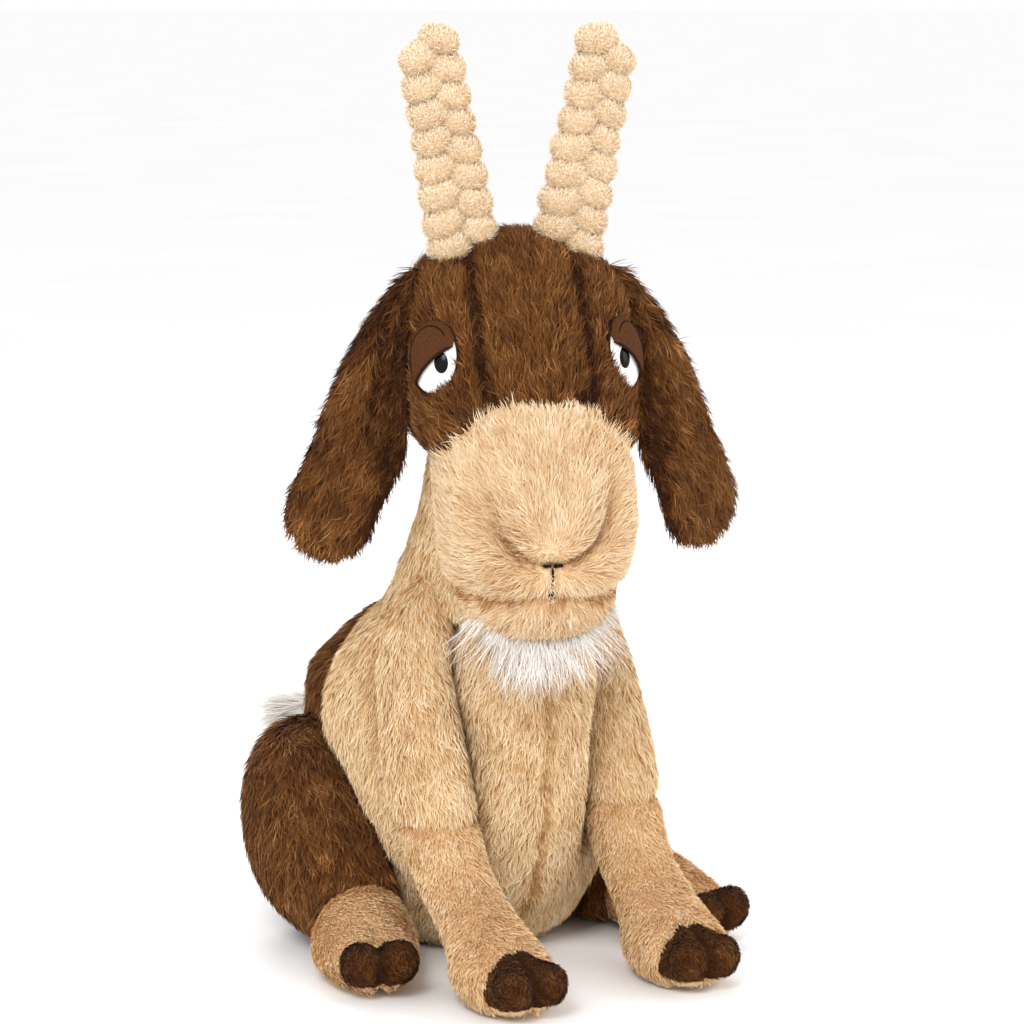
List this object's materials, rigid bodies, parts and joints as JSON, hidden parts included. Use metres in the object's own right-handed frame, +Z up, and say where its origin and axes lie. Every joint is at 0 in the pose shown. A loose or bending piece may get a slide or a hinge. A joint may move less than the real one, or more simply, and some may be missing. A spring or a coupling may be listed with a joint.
{
  "type": "plush goat toy",
  "caption": "Seated plush goat soft toy with long droopy ears, lobed plush horns, half-closed eyes, a white beard and tail, tan chest and brown head, back and thighs.",
  "frame": {"origin": "on the surface it sits on, in the body's middle plane, 6 mm behind the neck's upright axis", "axes": "-Y the way the body faces, +X to the goat's own left, +Z up"},
  "size_m": [0.1951, 0.2781, 0.3914],
  "materials": {
    "brown_fur": "matte",
    "tan_fur": "matte",
    "tan_short_pile": "matte",
    "cream_fur": "matte",
    "white_hair": "matte",
    "hoof_plush": "matte",
    "eyelid_suede": "matte",
    "eye_white": "satin",
    "eye_black": "gloss",
    "black_thread": "matte",
    "polyester_filling": "matte",
    "pellets": "matte"
  },
  "bodies": {
    "torso": {"chest_left": "tan_fur", "chest_right": "tan_fur", "back_panel": "brown_fur", "base_panel": "tan_fur", "torso_filling": "polyester_filling", "pellet_bag": "pellets"},
    "head": {"head_side_left": "brown_fur", "head_side_right": "brown_fur", "head_gusset": "brown_fur", "muzzle": "cream_fur", "chin": "cream_fur", "nose_stitch": "black_thread", "mouth_stitch": "black_thread", "eye_white_left": "eye_white", "eye_white_right": "eye_white", "pupil_left": "eye_black", "pupil_right": "eye_black", "eyelid_left": "eyelid_suede", "eyelid_right": "eyelid_suede", "beard": "white_hair", "head_filling": "polyester_filling", "horn_left_cover": "cream_fur", "horn_right_cover": "cream_fur", "horn_left_filling": "polyester_filling", "horn_right_filling": "polyester_filling"},
    "ear_left": {"ear_left_front": "brown_fur", "ear_left_back": "brown_fur"},
    "ear_right": {"ear_right_front": "brown_fur", "ear_right_back": "brown_fur"},
    "front_leg_left": {"front_leg_left_upper": "tan_fur", "front_leg_left_lower": "tan_short_pile", "front_leg_left_sole": "cream_fur", "front_leg_left_hooves": "hoof_plush", "front_leg_left_filling": "polyester_filling"},
    "front_leg_right": {"front_leg_right_upper": "tan_fur", "front_leg_right_lower": "tan_short_pile", "front_leg_right_sole": "cream_fur", "front_leg_right_hooves": "hoof_plush", "front_leg_right_filling": "polyester_filling"},
    "hind_leg_left": {"hind_leg_left_thigh": "brown_fur", "hind_leg_left_foot": "tan_short_pile", "hind_leg_left_sole": "cream_fur", "hind_leg_left_hooves": "hoof_plush", "hind_leg_left_filling": "polyester_filling"},
    "hind_leg_right": {"hind_leg_right_thigh": "brown_fur", "hind_leg_right_foot": "tan_short_pile", "hind_leg_right_sole": "cream_fur", "hind_leg_right_hooves": "hoof_plush", "hind_leg_right_filling": "polyester_filling"},
    "tail": {"tail_core": "white_hair", "tail_hair": "white_hair"}
  },
  "joints": [
    {"name": "head_turn", "type": "hinge", "parent": "torso", "child": "head", "pos_m": [0.0015, -0.006, 0.219], "axis": [0, 0, 1], "range_deg": [-15, 15]},
    {"name": "ear_left_swing", "type": "hinge", "parent": "head", "child": "ear_left", "pos_m": [0.04706, -0.01562, 0.287], "axis": [-0.2588, -0.9659, 0], "range_deg": [0, 75]},
    {"name": "ear_right_swing", "type": "hinge", "parent": "head", "child": "ear_right", "pos_m": [-0.04277, 0.00845, 0.287], "axis": [0.2588, 0.9659, 0], "range_deg": [0, 75]},
    {"name": "front_leg_left_lift", "type": "hinge", "parent": "torso", "child": "front_leg_left", "pos_m": [0.042, 0.003, 0.124], "axis": [-1, 0, 0], "range_deg": [0, 40]},
    {"name": "front_leg_right_lift", "type": "hinge", "parent": "torso", "child": "front_leg_right", "pos_m": [-0.042, 0.003, 0.124], "axis": [-1, 0, 0], "range_deg": [0, 40]},
    {"name": "hind_leg_left_lift", "type": "hinge", "parent": "torso", "child": "hind_leg_left", "pos_m": [0.06, 0.058, 0.056], "axis": [-1, 0, 0], "range_deg": [0, 8]},
    {"name": "hind_leg_right_lift", "type": "hinge", "parent": "torso", "child": "hind_leg_right", "pos_m": [-0.06, 0.058, 0.056], "axis": [-1, 0, 0], "range_deg": [0, 8]},
    {"name": "tail_wag", "type": "hinge", "parent": "torso", "child": "tail", "pos_m": [-0.006, 0.136, 0.08], "axis": [0, 0, -1], "range_deg": [-10, 80]}
  ]
}
